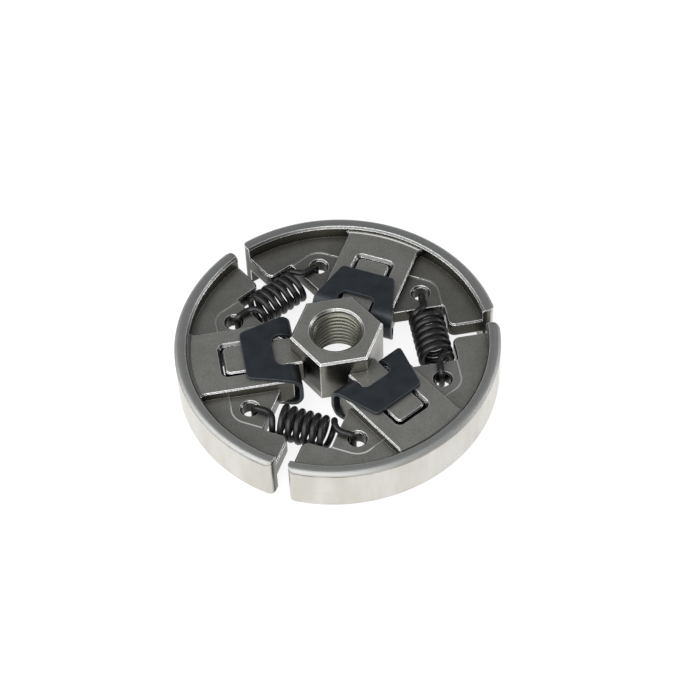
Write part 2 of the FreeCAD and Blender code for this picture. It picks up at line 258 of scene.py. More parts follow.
def leaning(tree: Tree, way: Socket, tilt: float) -> Socket:
    """Normal of a level shoulder that leans: sine of the tilt times the way it leans, plus cosine upwards.

    Args:
        tree: Node tree to work in.
        way: Level unit vector.
        tilt: Lean in degrees, below nought away from the way.

    Returns:
        The normal's socket.
    """
    sine, cosine = math.sin(math.radians(tilt)), math.cos(math.radians(tilt))
    return add_node(tree, "ShaderNodeVectorMath", {0: way, 1: (sine, sine, 0.0), 2: (0.0, 0.0, cosine)},
                    operation="MULTIPLY_ADD").outputs[0]


@dataclass(frozen=True)
class PadLip:
    """Soft raised lip that the punch leaves round the sunk pad of each hook hole. Its crest and the step down
    to the
    pad are painted pale: partly rubbing, partly painted highlight. Sizes in millimetres. The pad is a
    rectangle square to the spring, with a round corner about the hole. The zones of the lip's crest and of
    the step down to the pad lie about the pad's outline, and the web's about its top."""

    arm_angle: float
    spring_angle: float = 60.0
    web_top: float = 8.8
    bridge_half: float = 8.95
    bridge_fade: tuple[float, float] = (0.05, 0.15)
    hole_reach: float = 22.505
    hole_aside: float = 13.1
    radius: float = 4.1
    crest_zone: Zone = (-0.08, 0.0, 0.315, 0.45)
    step_zone: Zone = (-0.16, -0.08, 0.04, 0.1)
    web_zone: Zone = (-0.24, -0.2, 0.1, 0.2)
    tilt: float = 12.0
    # Pale colour of the crest and step: partly rubbing, partly painted highlight.
    rub_and_highlight: str = "#d2d2d0"
    rough: float = 0.3
    share: float = 0.75

    def lay(self, tree: Tree, surface: Surface, skin: Skin) -> Skin:
        """Lay the lip over a sintered skin.

        A point's distance from the hole is the length of its way past the hole, outwards and along the
        spring, where only the parts of that way that are above nought count.

        Args:
            tree: Node tree to work in.
            surface: Where the point lies and how it is turned.
            skin: The sintered skin.

        Returns:
            The skin with the lip laid over.
        """
        arm = math.radians(self.arm_angle)
        spring = math.radians(self.spring_angle)
        along, aside = [
            add_node(tree, "ShaderNodeVectorMath", {0: surface.place, 1: way}, operation="DOT_PRODUCT")
            for way in ((math.cos(arm), math.sin(arm), 0.0), (-math.sin(arm), math.cos(arm), 0.0))]
        across = add_node(tree, "ShaderNodeMath", {
            0: aside.outputs["Value"]}, operation="ABSOLUTE").outputs[0]
        folded = add_node(tree, "ShaderNodeCombineXYZ", {0: along.outputs["Value"], 1: across}).outputs[0]
        past = []
        for way, start in (((math.cos(spring), math.sin(spring), 0.0), self.hole_reach),
                           ((math.sin(spring), -math.cos(spring), 0.0), self.hole_aside)):
            reach = add_node(tree, "ShaderNodeVectorMath", {0: folded, 1: way}, operation="DOT_PRODUCT")
            beyond = add_node(tree, "ShaderNodeMath", {
                0: reach.outputs["Value"], 1: start * MM}, operation="SUBTRACT").outputs[0]
            ahead = add_node(tree, "ShaderNodeMath", {0: beyond, 1: 0.0}, operation="MAXIMUM")
            past.append(ahead.outputs[0])
        corner = add_node(tree, "ShaderNodeCombineXYZ", {0: past[0], 1: past[1]}).outputs[0]
        distance = add_node(tree, "ShaderNodeVectorMath", {0: corner}, operation="LENGTH").outputs["Value"]

        crest = product(tree, window(tree, distance, self.crest_zone, self.radius), surface.flat, self.share)
        step = window(tree, distance, self.step_zone, self.radius)
        on_web = window(tree, surface.height, self.web_zone, self.web_top)
        start, full = [(self.bridge_half + limit) * MM for limit in self.bridge_fade]
        beside = add_node(tree, "ShaderNodeMapRange", {0: across, 1: start, 2: full}).outputs[0]
        shown = add_node(tree, "ShaderNodeMath", {0: crest, 1: step}, operation="MAXIMUM").outputs[0]
        plan = add_node(tree, "ShaderNodeVectorMath", {0: surface.place, 1: PLAN}, operation="MULTIPLY")
        outward = add_node(tree, "ShaderNodeVectorMath", {0: plan.outputs[0]}, operation="NORMALIZE")
        # The lip's pale colour is partly rubbing, partly painted highlight; its lean is a bump.
        lip = Skin(linear(self.rub_and_highlight), self.rough, leaning(tree, outward.outputs[0], self.tilt))
        return over(tree, product(tree, shown, on_web, beside), skin, lip)


@dataclass(frozen=True)
class TurnedFace:
    """Friction face turned on a lathe and run in: bright, slightly warm steel with faint rings and pale
    smears and a dark burr line along its top. Above it the rim's chamfer and outer shoulder are tumbled soft,
    and a band inside the shoulder is painted paler: partly rubbing, partly painted highlight.
    Sizes in millimetres. Depths say how far inside the face a finish starts and is full. The burr's zone lies
    about the face's top edge, the bridge's about the bridge's top, and the root's about the rim's inner
    edge."""

    centre: Vector
    radius: float
    top: float
    bright: str = "#d0cec8"
    smear: str = "#c4c1b9"
    rim: str = "#8d908e"
    chamfer: str = "#949492"
    # Paler band inside the rim's outer shoulder: partly rubbing, partly painted highlight.
    shoulder_rub_and_highlight: str = "#c0c0be"
    root: str = "#807f7d"
    burr: str = "#4c4a43"
    face_rough: float = 0.34
    chamfer_rough: float = 0.52
    root_rough: float = 0.3
    ring_mm: float = 0.3
    ring_run_mm: float = 17.0
    ring_depth_mm: float = 0.03
    ring_bump: float = 0.06
    smear_mm: float = 4.5
    smear_run_mm: float = 18.0
    rim_width: float = 3.1
    chamfer_drop: float = 0.6
    bridge_drop: float = 1.15
    shoulder: float = 0.8
    shoulder_fade: float = 0.08
    root_tilt: float = 30.0
    face_depths: tuple[float, float] = (2.1, 1.9)
    rim_depths: tuple[float, float] = (2.35, 2.1)
    rub_and_highlight_depths: tuple[float, float] = (1.7, 0.8)
    shoulder_depths: tuple[float, float] = (2.2, 1.6)
    chamfer_depths: tuple[float, float] = (1.05, 0.7)
    burr_zone: Zone = (-0.42, -0.3, -0.14, -0.04)
    bridge_zone: Zone = (-0.2, -0.1, 0.1, 0.2)
    root_zone: Zone = (-0.75, -0.65, -0.3, -0.2)
    rim_share: float = 0.8
    rub_and_highlight_share: float = 0.3

    def lay(self, tree: Tree, surface: Surface, skin: Skin) -> Skin:
        """Lay the turned face, its chamfers and the rim's smoother top over a sintered skin.

        Args:
            tree: Node tree to work in.
            surface: Where the point lies and how it is turned.
            skin: The sintered skin.

        Returns:
            The skin with the turned face laid over.
        """
        out = add_node(tree, "ShaderNodeVectorMath", {
            0: surface.place, 1: self.centre}, operation="SUBTRACT").outputs[0]
        plan = add_node(tree, "ShaderNodeVectorMath", {0: out, 1: PLAN}, operation="MULTIPLY").outputs[0]
        span = add_node(tree, "ShaderNodeVectorMath", {0: plan}, operation="LENGTH").outputs["Value"]
        radial = add_node(tree, "ShaderNodeVectorMath", {0: plan}, operation="NORMALIZE").outputs[0]
        facing = add_node(tree, "ShaderNodeVectorMath", {
            0: radial, 1: surface.normal}, operation="DOT_PRODUCT").outputs["Value"]

        outside, by_rim, by_shoulder, by_edge, by_chamfer = [
            add_node(tree, "ShaderNodeMapRange", {
                0: span, 1: (self.radius - start) * MM, 2: (self.radius - full) * MM}).outputs[0]
            for start, full in (self.face_depths, self.rim_depths, self.shoulder_depths, self.rub_and_highlight_depths,
                                self.chamfer_depths)]

        # Feed rings are drawn about twice as wide as the tool leaves them, so that they show. Smears stand
        # upright, as the drum's rubbing and the wiping cloth leave them.
        patterns = []
        for wide, tall, detail in ((self.ring_run_mm, self.ring_mm, 2.0),
                                   (self.smear_mm, self.smear_run_mm, 3.0)):
            scale = (per_metre(wide), per_metre(wide), per_metre(tall))
            cells = add_node(tree, "ShaderNodeVectorMath", {0: surface.place, 1: scale}, operation="MULTIPLY")
            noise = add_node(tree, "ShaderNodeTexNoise", {
                "Vector": cells.outputs[0], "Scale": 1.0, "Detail": detail})
            patterns.append(noise.outputs[0])
        ring, smear = patterns
        # Each mask: what it follows, the values where it starts and is full, and its shares there.
        outward, steep, smear_and_shade_share, scored, ragged = [
            add_node(tree, "ShaderNodeMapRange", dict(enumerate(row))).outputs[0] for row in (
                (facing, 0.3, 0.6, 0.0, 1.0),
                (surface.level, 0.6, 0.3, 0.0, 1.0),
                (smear, 0.35, 0.65, 0.0, 1.0),
                (ring, 0.5, 0.75, 0.0, 0.3),
                (smear, 0.3, 0.6, 0.35, 0.85))]
        brink = self.top - self.chamfer_drop
        burr = product(tree, window(tree, surface.height, self.burr_zone, brink), ragged)
        face = coats(tree, linear(self.bright), [
            (smear_and_shade_share, linear(self.smear)), (scored, linear(self.smear)), (burr, linear(self.burr))])

        # A thin bright root is pressed where the bridge's top meets the rim.
        on_bridge = window(tree, surface.height, self.bridge_zone, self.top - self.bridge_drop)
        at_root = window(tree, span, self.root_zone, self.radius - self.rim_width)
        root = Skin(linear(self.root), self.root_rough, leaning(tree, radial, -self.root_tilt))
        skin = over(tree, product(tree, at_root, on_bridge, surface.flat), skin, root)
        # Tumbling rounds the rim's outer edge into a soft shoulder, and the band inside it is painted paler:
        # partly rubbing, partly painted highlight.
        high_up = add_node(tree, "ShaderNodeMapRange", {
            0: surface.height, 1: (brink - self.shoulder_fade) * MM, 2: brink * MM}).outputs[0]
        rounded = add_node(tree, "ShaderNodeBevel", {"Radius": self.shoulder * MM}, samples=8).outputs[0]
        rim = coats(tree, skin.colour, [
            (product(tree, by_rim, surface.flat, self.rim_share), linear(self.rim)),
            (product(tree, by_edge, surface.flat, self.rub_and_highlight_share), linear(self.shoulder_rub_and_highlight))])
        skin = over(tree, product(tree, by_shoulder, high_up), Skin(rim, skin.rough, skin.bump),
                    Skin(rim, skin.rough, rounded))
        skin = over(tree, product(tree, by_chamfer, surface.sloped), skin,
                    Skin(linear(self.chamfer), self.chamfer_rough, skin.bump))
        groove = add_node(tree, "ShaderNodeBump", {
            "Strength": self.ring_bump, "Distance": self.ring_depth_mm * MM,
            "Height": ring, "Normal": skin.bump})
        return over(tree, product(tree, outside, outward, steep), skin,
                    Skin(face, self.face_rough, groove.outputs[0]))


@dataclass(frozen=True)
class SinteredSteel:
    """Pressed and sintered iron-based powder steel, tumbled: satin grey with a fine grain, pale specks
    painted as glints, and smoother side walls that the die has burnished. Walls and slopes are coloured
    darker as painted shade, corners, low faces and one side band are darkened with painted shade, and the
    pressed edges are painted pale, partly rubbing and partly painted highlight.
    Heights are in millimetres, and the zone of the slopes is of how far they lie level."""

    name: str
    flat: str = "#959490"
    blotch: str = "#8a8984"
    # wall and slope are coloured darker than the level tops: painted shade.
    wall: str = "#605e56"
    # corner darkens the grain and the pores, and is also the colour of the painted shade.
    corner: str = "#26251f"
    slope: str = "#575756"
    # edge is the pale of the painted glints, and of edges that are partly rubbing, partly painted highlight.
    edge: str = "#eeeef0"
    top_rough: float = 0.46
    slope_rough: float = 0.34
    wall_rough: float = 0.24
    grain_mm: float = 0.32
    grain_depth_mm: float = 0.05
    grain_bump: float = 0.3
    blotch_mm: float = 5.0
    pore_mm: float = 0.7
    corner_mm: float = 6.0
    rub_and_highlight_mm: float = 0.22
    round_mm: float = 0.18
    edge_share: float = 0.8
    # Painted shade on faces below a height, and how strong it is.
    low_shade_below: float = 0.0
    low_shade_fade: float = 0.2
    low_shade_share: float = 0.2
    # Painted shade on a band of the side facing this way, in degrees.
    shaded_side: float | None = None
    shaded_side_zone: Zone = (5.1, 6.1, 10.5, 12.5)
    slope_zone: Zone = (0.35, 0.5, 0.9, 0.96)

    def material(self, *coverings: PadLip | TurnedFace) -> bpy.types.Material:
        """Build the material.

        Args:
            coverings: What is laid over the skin, from the lowest up.

        Returns:
            The finished material.
        """
        material, tree = new_material(self.name)
        place = add_node(tree, "ShaderNodeTexCoord").outputs["Object"]
        height = add_node(tree, "ShaderNodeSeparateXYZ", {0: place}).outputs["Z"]
        normal = add_node(tree, "ShaderNodeNewGeometry").outputs["Normal"]
        tilt = add_node(tree, "ShaderNodeSeparateXYZ", {0: normal}).outputs["Z"]
        level = add_node(tree, "ShaderNodeMath", {0: tilt}, operation="ABSOLUTE").outputs[0]
        sloped = window(tree, level, self.slope_zone, unit=1.0)

        grain = add_node(tree, "ShaderNodeTexNoise", {
            "Vector": place, "Scale": per_metre(self.grain_mm), "Detail": 3.0, "Roughness": 0.65}).outputs[0]
        patch = add_node(tree, "ShaderNodeTexNoise", {
            "Vector": place, "Scale": per_metre(self.blotch_mm), "Detail": 4.0, "Roughness": 0.6}).outputs[0]
        pore = add_node(tree, "ShaderNodeTexVoronoi", {
            "Vector": place, "Scale": per_metre(self.pore_mm), "Randomness": 1.0}).outputs["Distance"]
        # Open corners are darkened through an occlusion test: painted shade.
        cavity = add_node(tree, "ShaderNodeAmbientOcclusion", {
            "Distance": self.corner_mm * MM}, samples=8).outputs["AO"]
        # Traced inwards, the same test finds the outer edges, which are painted pale: partly rubbing, partly
        # painted highlight.
        rub_and_highlight = add_node(tree, "ShaderNodeAmbientOcclusion", {
            "Distance": self.rub_and_highlight_mm * MM}, samples=8, inside=True, only_local=True).outputs["AO"]

        # Faces below a height are darkened, more on the shoes further back: painted shade.
        low_shade_ends = [(self.low_shade_below + fade) * MM for fade in (self.low_shade_fade, -self.low_shade_fade)]
        # Each mask: what it follows, the values where it starts and is full, and its shares there.
        masks = {
            "flat": (level, 0.9, 0.97, 0.0, 1.0),
            "upright": (level, 0.45, 0.15, 0.0, 1.0),
            "smear_and_shade_share": (level, 0.6, 0.9, 1.0, 0.4),
            "clouded": (patch, 0.35, 0.65, 0.0, 1.0),
            "dark_grain": (grain, 0.46, 0.28, 0.0, 0.22),
            # Pale specks: painted glints.
            "painted_glint": (grain, 0.54, 0.72, 0.0, 0.12),
            "broken": (grain, 0.3, 0.6, 0.5, 1.0),
            "pitted": (pore, 0.22, 0.1, 0.0, 0.4),
            "painted_corner_shade": (cavity, 0.8, 0.35, 0.0, 0.9),
            # Pale edges: partly rubbing, partly painted highlight.
            "worn": (rub_and_highlight, 0.98, 0.86, 0.0, self.edge_share),
            "painted_low_shade": (height, *low_shade_ends, 0.0, self.low_shade_share),
        }
        mask = {name: add_node(tree, "ShaderNodeMapRange", dict(enumerate(row))).outputs[0]
                for name, row in masks.items()}
        # Low faces and corners are darkened as painted shade, less on level tops.
        painted_shades = [mask["painted_low_shade"], product(tree, mask["painted_corner_shade"], mask["smear_and_shade_share"])]
        if self.shaded_side is not None:
            # One side of the hub is darkened in a band: painted shade.
            side = math.radians(self.shaded_side)
            way = (math.cos(side), math.sin(side), 0.0)
            facing = add_node(tree, "ShaderNodeVectorMath", {0: normal, 1: way}, operation="DOT_PRODUCT")
            towards = add_node(tree, "ShaderNodeMapRange", {0: facing.outputs["Value"], 1: 0.9, 2: 0.97})
            painted_shades.append(product(tree, towards.outputs[0], window(tree, height, self.shaded_side_zone)))
        # Walls and slopes take darker colours and the listed darkenings are painted shade; the pale specks
        # are painted glints and the pale edges are partly rubbing, partly painted highlight.
        colour = coats(tree, linear(self.flat), [
            (mask["clouded"], linear(self.blotch)), (mask["upright"], linear(self.wall)),
            (sloped, linear(self.slope)), (mask["dark_grain"], linear(self.corner)),
            (mask["painted_glint"], linear(self.edge)), (mask["pitted"], linear(self.corner)),
            *((painted_shade, linear(self.corner)) for painted_shade in painted_shades),
            (product(tree, mask["worn"], mask["broken"]), linear(self.edge))])

        tops = add_node(tree, "ShaderNodeMapRange", {0: sloped, 3: self.top_rough, 4: self.slope_rough})
        rough = add_node(tree, "ShaderNodeMix", {
            Blend.SHARE: mask["upright"], Blend.VALUE_BELOW: tops.outputs[0],
            Blend.VALUE_ABOVE: self.wall_rough})
        rounded = add_node(tree, "ShaderNodeBevel", {"Radius": self.round_mm * MM}, samples=6).outputs[0]
        bump = add_node(tree, "ShaderNodeBump", {
            "Strength": self.grain_bump, "Distance": self.grain_depth_mm * MM,
            "Height": grain, "Normal": rounded})
        skin = Skin(colour, rough.outputs[Blended.VALUE], bump.outputs[0])
        surface = Surface(place, height, normal, level, mask["flat"], sloped)
        for covering in coverings:
            skin = covering.lay(tree, surface, skin)
        close(tree, skin, metallic=1.0)
        return material


@dataclass(frozen=True)
class BlackenedSheet:
    """Cold-rolled spring steel sheet, blackened and oiled: satin blue-black with a soft sheen, and a
    thin paler line along its cut edges, partly where the black is rubbing off and partly painted highlight."""

    name: str = "blackened_spring_sheet"
    skin: str = "#20252a"
    dull: str = "#181c20"
    edge: str = "#5a6167"
    smooth: float = 0.36
    coarse: float = 0.48
    metallic: float = 0.35
    cloud_mm: float = 3.0
    grit_mm: float = 0.25
    grit_depth_mm: float = 0.03
    grit_bump: float = 0.12
    rub_and_highlight_mm: float = 0.25
    round_mm: float = 0.15
    edge_share: float = 0.6

    def material(self) -> bpy.types.Material:
        """Build the material.

        Returns:
            The finished material.
        """
        material, tree = new_material(self.name)
        place = add_node(tree, "ShaderNodeTexCoord").outputs["Object"]
        cloud = add_node(tree, "ShaderNodeTexNoise", {
            "Vector": place, "Scale": per_metre(self.cloud_mm), "Detail": 3.0}).outputs[0]
        grit = add_node(tree, "ShaderNodeTexNoise", {
            "Vector": place, "Scale": per_metre(self.grit_mm), "Detail": 2.0}).outputs[0]
        # Outer edges found by an inward occlusion test are painted paler: partly rubbing, partly painted
        # highlight.
        rub_and_highlight = add_node(tree, "ShaderNodeAmbientOcclusion", {
            "Distance": self.rub_and_highlight_mm * MM}, samples=8, inside=True, only_local=True).outputs["AO"]
        clouded = add_node(tree, "ShaderNodeMapRange", {0: cloud, 1: 0.35, 2: 0.65})
        worn = add_node(tree, "ShaderNodeMapRange", {0: rub_and_highlight, 1: 0.85, 2: 0.5, 4: self.edge_share})
        colour = coats(tree, linear(self.skin), [
            (clouded.outputs[0], linear(self.dull)), (worn.outputs[0], linear(self.edge))])
        rough = add_node(tree, "ShaderNodeMapRange", {
            0: grit, 1: 0.3, 2: 0.7, 3: self.smooth, 4: self.coarse})
        rounded = add_node(tree, "ShaderNodeBevel", {"Radius": self.round_mm * MM}, samples=6).outputs[0]
        bump = add_node(tree, "ShaderNodeBump", {
            "Strength": self.grit_bump, "Distance": self.grit_depth_mm * MM,
            "Height": grit, "Normal": rounded})
        close(tree, Skin(colour, rough.outputs[0], bump.outputs[0]), self.metallic)
        return material


@dataclass(frozen=True)
class PhosphatedWire:
    """Hard-drawn spring wire, phosphated black and oiled: nearly black with soft narrow lights along
    the turns and thin places that show the steel."""

    name: str = "phosphated_spring_wire"
    skin: str = "#131314"
    thin: str = "#2a2a2d"
    smooth: float = 0.32
    coarse: float = 0.46
    metallic: float = 0.3
    cloud_mm: float = 1.6
    grit_mm: float = 0.2
    grit_depth_mm: float = 0.03
    grit_bump: float = 0.15

    def material(self) -> bpy.types.Material:
        """Build the material.

        Returns:
            The finished material.
        """
        material, tree = new_material(self.name)
        place = add_node(tree, "ShaderNodeTexCoord").outputs["Object"]
        cloud = add_node(tree, "ShaderNodeTexNoise", {
            "Vector": place, "Scale": per_metre(self.cloud_mm), "Detail": 4.0}).outputs[0]
        grit = add_node(tree, "ShaderNodeTexNoise", {
            "Vector": place, "Scale": per_metre(self.grit_mm), "Detail": 2.0}).outputs[0]
        worn = add_node(tree, "ShaderNodeMapRange", {0: cloud, 1: 0.55, 2: 0.75}).outputs[0]
        colour = coats(tree, linear(self.skin), [(worn, linear(self.thin))])
        rough = add_node(tree, "ShaderNodeMapRange", {
            0: grit, 1: 0.3, 2: 0.7, 3: self.smooth, 4: self.coarse})
        bump = add_node(tree, "ShaderNodeBump", {
            "Strength": self.grit_bump, "Distance": self.grit_depth_mm * MM, "Height": grit})
        close(tree, Skin(colour, rough.outputs[0], bump.outputs[0]), self.metallic)
        return material


def tube_object(name: str, rings: np.ndarray) -> bpy.types.Object:
    """Closed tube through a grid of rings: quads between neighbouring rings, one flat face at each end.

    Args:
        name: Name of the object.
        rings: Points in metres, shaped (rings, points round a ring, 3).

    Returns:
        The new object, smooth along the tube and sharp round its two ends, facing outwards.
    """
    count, around = rings.shape[:2]
    index = np.arange(count * around).reshape(count, around)
    following = np.roll(index, -1, axis=1)
    quads = np.stack([index[:-1], following[:-1], following[1:], index[1:]], axis=-1).reshape(-1, 4)
    ends = [index[0, ::-1], index[-1]]
    points = rings.reshape(-1, 3)
    # Six times the enclosed volume: sum of the triple products of each quad's two triangles.
    a, b, c, d = (points[quads[:, k]] for k in range(4))
    volume = np.einsum("ij,ij->", a, np.cross(b, c)) + np.einsum("ij,ij->", a, np.cross(c, d))
    if volume < 0:
        quads = quads[:, ::-1]
        ends = [end[::-1] for end in ends]
    mesh = bpy.data.meshes.new(name)
    mesh.from_pydata(points.tolist(), [], quads.tolist() + [end.tolist() for end in ends])
    mesh.polygons.foreach_set("use_smooth", np.ones(len(mesh.polygons), dtype=bool))
    pairs = np.zeros(len(mesh.edges) * 2, dtype=np.int32)
    mesh.edges.foreach_get("vertices", pairs)
    ring_of = pairs.reshape(-1, 2) // around
    at_end = (ring_of == 0).all(axis=1) | (ring_of == count - 1).all(axis=1)
    mesh.edges.foreach_set("use_edge_sharp", at_end)
    mesh.update()
    piece = bpy.data.objects.new(name, mesh)
    bpy.context.scene.collection.objects.link(piece)
    return piece


@dataclass
class Carrier:
    """Hexagon hub with its three arms, and the thread in its bore. Sizes in millimetres."""

    finish: SinteredSteel
    thread_finish: SinteredSteel
    root_radius: float = 6.0
    crest_radius: float = 5.33
    pitch: float = 1.25
    start: float = 3.3
    stop: float = 15.2
    sunk: float = 0.06
    crest_rounding: float = 0.2
    shoulder_share: float = 0.93
    fade_turns: float = 0.3
    steps_per_turn: int = 72
    hand: Hand = Hand.LEFT

    def thread(self) -> bpy.types.Object:
        """Ridge of the crank thread: a 60 degree profile carried along a helix on the bore's wall.

        A point lies at radius (root - height) and angle hand * 2 pi * climb / pitch, and the height grows
        from nought and back to it over a part of the first and last turn. The foot is sunk in the wall.

        Returns:
            The ridge's object.
        """
        turns = (self.stop - self.start) / self.pitch
        turn = np.linspace(0.0, turns, round(turns * self.steps_per_turn) + 1)[:, None]
        grown = np.clip(np.minimum(turn, turns - turn) / self.fade_turns, 0.0, 1.0)
        tall = self.root_radius - self.crest_radius
        shoulder = tall * self.shoulder_share
        half_foot = self.pitch * 7 / 16
        half_crest = self.pitch / 8
        inner = half_crest * (1 - self.crest_rounding)
        outer = half_crest * (1 + self.crest_rounding)
        rise = np.array([-self.sunk, 0.0, shoulder, tall, tall, shoulder, 0.0, -self.sunk])
        aside = np.array([-half_foot, -half_foot, -outer, -inner, inner, outer, half_foot, half_foot])
        height = np.where(rise > 0, rise * grown, rise)
        radius = self.root_radius - height
        angle = self.hand.value * 2 * math.pi * turn + 0 * radius
        climb = self.start + self.pitch * turn + aside
        rings = np.stack([radius * np.cos(angle), radius * np.sin(angle), climb], axis=-1) * MM
        return tube_object("crank_thread_ridge", rings)

    def build(self) -> None:
        """Dress the carrier and add the thread."""
        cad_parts["carrier"].material_slots[0].material = self.finish.material()
        ridge = self.thread()
        ridge.data.materials.append(self.thread_finish.material())
        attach(ridge, "carrier_body")
        LOG.info("carrier dressed, %s built", ridge.name)


@dataclass
class FrictionShoe:
    """One sliding shoe with the sheet retainer folded over its bridge. Sizes in millimetres."""

    number: int
    arm_angle: float
    finish: SinteredSteel
    clip_finish: bpy.types.Material
    face_radius: float = 38.7
    height: float = 12.25
    rest_inset: float = 0.8

    def build(self) -> None:
        """Dress the shoe, with its turned face about its own arc's centre, and its retainer."""
        arm = math.radians(self.arm_angle)
        centre = Vector((-math.cos(arm), -math.sin(arm), 0.0)) * (self.rest_inset * MM)
        face = TurnedFace(centre, self.face_radius, self.height)
        steel = self.finish.material(PadLip(self.arm_angle), face)
        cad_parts[f"shoe_{self.number}"].material_slots[0].material = steel
        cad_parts[f"retainer_{self.number}"].material_slots[0].material = self.clip_finish
        LOG.info("shoe_%d and retainer_%d dressed", self.number, self.number)


@dataclass
class TensionSpring:
    """One coil spring hooked between two shoes, made in two halves, each named after the shoe it is hooked
    into.
    Sizes in millimetres, in a frame whose X runs from the hub axis to the spring and whose Y is the spring's
    axis."""

    number: int
    angle: float
    before: str
    after: str
    finish: bpy.types.Material
    reach: float = 22.505
    level: float = 7.0
    coil_radius: float = 3.5
    coil_length: float = 13.2
    turns: int = 7
    lean: float = 30.0
    early: float = 35.0
    wire_radius: float = 0.75
    over: float = 9.45
    bar: float = 1.3
    bend: float = 1.1
    seat: float = 12.07
    tip: float = 5.0
    tip_narrow: float = 0.7
    tip_run: float = 0.8
    axis_share: float = 0.8
    steps_per_turn: int = 48
    sweep_steps: int = 25
    bend_steps: int = 11
    leg_steps: int = 7
    around: int = 16

    def centre_line(self) -> np.ndarray:
        """Wire's centre line from the coil's middle to one hook's tip.

        The coil is a helix about Y that is left a little early, then a cubic arch onto the hook's bar over
        the web, a quarter circle down, and a straight leg into the hole.

        Returns:
            Points shaped (steps, 3).
        """
        whole = math.radians(360 * self.turns - 2 * self.lean)
        coil_steps = round(self.steps_per_turn * self.turns / 2) + 1
        share = np.linspace(0.5, 1.0 - math.radians(self.early) / whole, coil_steps)
        turn = math.radians(self.lean) + whole * share
        coil = np.stack([self.reach + self.coil_radius * np.sin(turn), self.coil_length * (share - 0.5),
                         self.level + self.coil_radius * np.cos(turn)], axis=-1)
        last = turn[-1]
        heading = np.array([self.coil_radius * math.cos(last), self.coil_length / whole,
                            -self.coil_radius * math.sin(last)])
        heading /= np.linalg.norm(heading)
        end = coil[-1]
        joint = np.array([self.reach, self.seat - self.bend - self.bar, self.over])
        pull = np.linalg.norm(joint - end) / 2
        poles = np.stack([end, end + heading * pull, joint - np.array([0.0, pull, 0.0]), joint])
        t = np.linspace(0.0, 1.0, self.sweep_steps)[1:, None]
        weights = np.concatenate([(1 - t) ** 3, 3 * t * (1 - t) ** 2, 3 * t * t * (1 - t), t ** 3], axis=1)
        sweep = weights @ poles
        quarter = np.linspace(0.0, math.pi / 2, self.bend_steps)
        hook = np.stack([np.full_like(quarter, self.reach),
                         self.seat - self.bend + self.bend * np.sin(quarter),
                         self.over - self.bend + self.bend * np.cos(quarter)], axis=-1)
        drop = np.linspace(self.over - self.bend, self.tip, self.leg_steps)[1:]
        leg = np.stack([np.full_like(drop, self.reach), np.full_like(drop, self.seat), drop], axis=-1)
        return np.concatenate([coil, sweep, hook, leg])

    def half(self, name: str, turned: bool) -> bpy.types.Object:
        """Round wire along half of the spring; the other half is the same turned about the middle.

        A ring's first axis is the way from a point of the spring's own axis, a little nearer its middle,
        made square to the wire, and its second is square to both. A narrower last ring rounds off the tip.

        Args:
            name: Name of the object.
            turned: Whether this is the half on the clockwise side.

        Returns:
            The half's object.
        """
        line = self.centre_line()
        along = np.gradient(line, axis=0)
        along /= np.linalg.norm(along, axis=1, keepdims=True)
        outward = line - np.stack([np.full(len(line), self.reach), self.axis_share * line[:, 1],
                                   np.full(len(line), self.level)], axis=-1)
        outward -= along * np.sum(outward * along, axis=1, keepdims=True)
        outward /= np.linalg.norm(outward, axis=1, keepdims=True)
        across = np.cross(along, outward)
        radius = np.full(len(line), self.wire_radius)
        radius[-1] *= self.tip_narrow
        line[-2] += (line[-1] - line[-2]) * self.tip_run
        turn = np.linspace(0.0, 2 * math.pi, self.around, endpoint=False)[None, :, None]
        rings = line[:, None] + radius[:, None, None] * (
            outward[:, None] * np.cos(turn) + across[:, None] * np.sin(turn))
        if turned:
            rings = rings * np.array([-1.0, -1.0, 1.0]) + np.array([2 * self.reach, 0.0, 0.0])
        a = math.radians(self.angle)
        spin = np.array([[math.cos(a), -math.sin(a), 0.0], [math.sin(a), math.cos(a), 0.0], [0.0, 0.0, 1.0]])
        return tube_object(name, rings @ spin.T * MM)

    def build(self) -> None:
        """Build both halves, each from the spring's middle to the shoe it is hooked into, and hide the CAD
        spring.
        """
        for turned, shoe in ((True, self.before), (False, self.after)):
            half = self.half(f"spring_{self.number}_to_{shoe}", turned)
            half.data.materials.append(self.finish)
            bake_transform(half)
            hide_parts(f"spring_{self.number}")
            LOG.info("%s built", half.name)


@dataclass(frozen=True)
class SoftBox:
    """Square area light that faces the object. Sizes in metres and watts."""

    name: str
    place: tuple[float, float, float]
    width: float
    power: float


